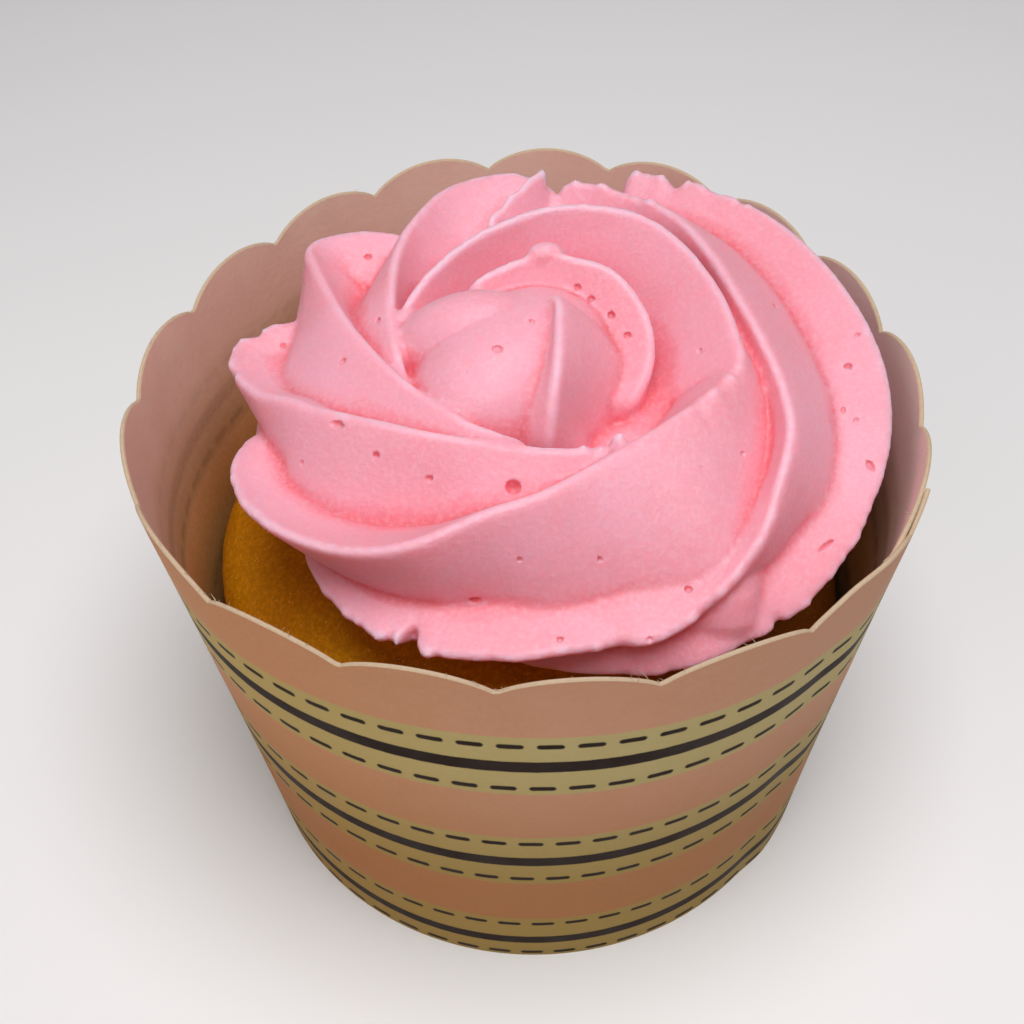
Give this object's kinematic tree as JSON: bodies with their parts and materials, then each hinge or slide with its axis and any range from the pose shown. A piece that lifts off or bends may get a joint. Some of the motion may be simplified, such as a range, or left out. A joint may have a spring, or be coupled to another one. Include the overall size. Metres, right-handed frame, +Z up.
{
  "type": "cupcake",
  "caption": "Golden sponge cupcake in a tapered card cup with a scalloped rim and stitched stripes, topped with a pink piped rosette of icing.",
  "frame": {"origin": "on the surface it stands on, under the middle of the rim", "axes": "+Z up, -Y towards the front, where the open end of the icing's lowest fold starts"},
  "size_m": [0.0627, 0.0614, 0.0537],
  "materials": {
    "printed_card": "matte printed card, pink with cream bands and brown stitched stripes",
    "base_card": "plain matte card",
    "sponge_crust": "soft golden sponge crust with fine crumb",
    "pink_icing": "satin butter icing, pale pink"
  },
  "bodies": {
    "root": {"cup_sleeve": "printed_card", "cup_base": "base_card", "sponge": "sponge_crust", "icing": "pink_icing"}
  },
  "joints": []
}
